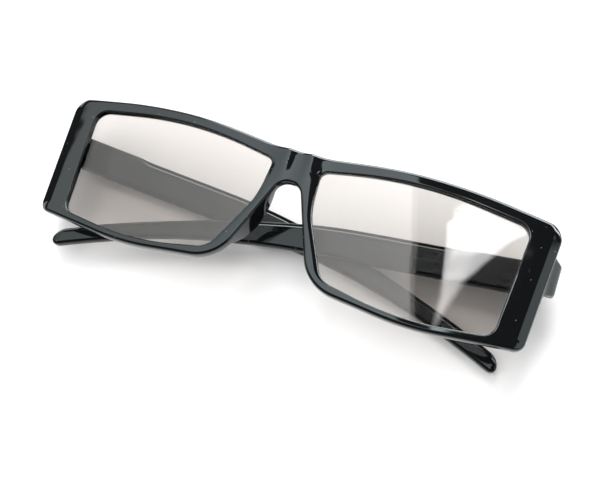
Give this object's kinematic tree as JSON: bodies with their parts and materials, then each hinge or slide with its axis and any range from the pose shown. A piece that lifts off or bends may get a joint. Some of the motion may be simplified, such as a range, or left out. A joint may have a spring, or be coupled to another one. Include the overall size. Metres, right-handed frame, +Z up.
{
  "type": "folding polarised 3d glasses",
  "caption": "Passive 3-D viewing glasses with a wrapped rectangular front, laminated polarised lenses and hinged folding temples, lying folded with the lenses up.",
  "frame": {"origin": "middle of the bounding box, on the table that the folded glasses lie on", "axes": "+X to the wearer's left along the front, +Y up the face, +Z up from the table, out through the lenses"},
  "size_m": [0.1506, 0.044, 0.0295],
  "materials": {
    "frame_black": "polished black injection-moulded plastic",
    "temple_black": "polished black injection-moulded plastic",
    "retarder_film": "clear quarter-wave film",
    "polariser_film": "faintly grey polarising film",
    "lens_carrier": "clear polished plastic",
    "hinge_steel": "plain nickel-plated steel",
    "screw_steel": "bright turned steel"
  },
  "bodies": {
    "front": {"front_frame": "frame_black", "left_retarder": "retarder_film", "left_polariser": "polariser_film", "left_carrier": "lens_carrier", "left_front_leaf": "hinge_steel", "left_hinge_screw": "screw_steel", "right_retarder": "retarder_film", "right_polariser": "polariser_film", "right_carrier": "lens_carrier", "right_front_leaf": "hinge_steel", "right_hinge_screw": "screw_steel"},
    "left_arm": {"left_temple": "temple_black", "left_temple_leaf": "hinge_steel"},
    "right_arm": {"right_temple": "temple_black", "right_temple_leaf": "hinge_steel"}
  },
  "joints": [
    {"name": "left_hinge", "type": "hinge", "parent": "front", "child": "left_arm", "pos_m": [0.06929, 0.00872, 0.01114], "axis": [0.0105, -0.9895, -0.144], "range_deg": [0, 90]},
    {"name": "right_hinge", "type": "hinge", "parent": "front", "child": "right_arm", "pos_m": [-0.06924, 0.00934, 0.00684], "axis": [-0.0105, 0.9895, 0.144], "range_deg": [0, 86.13]}
  ]
}
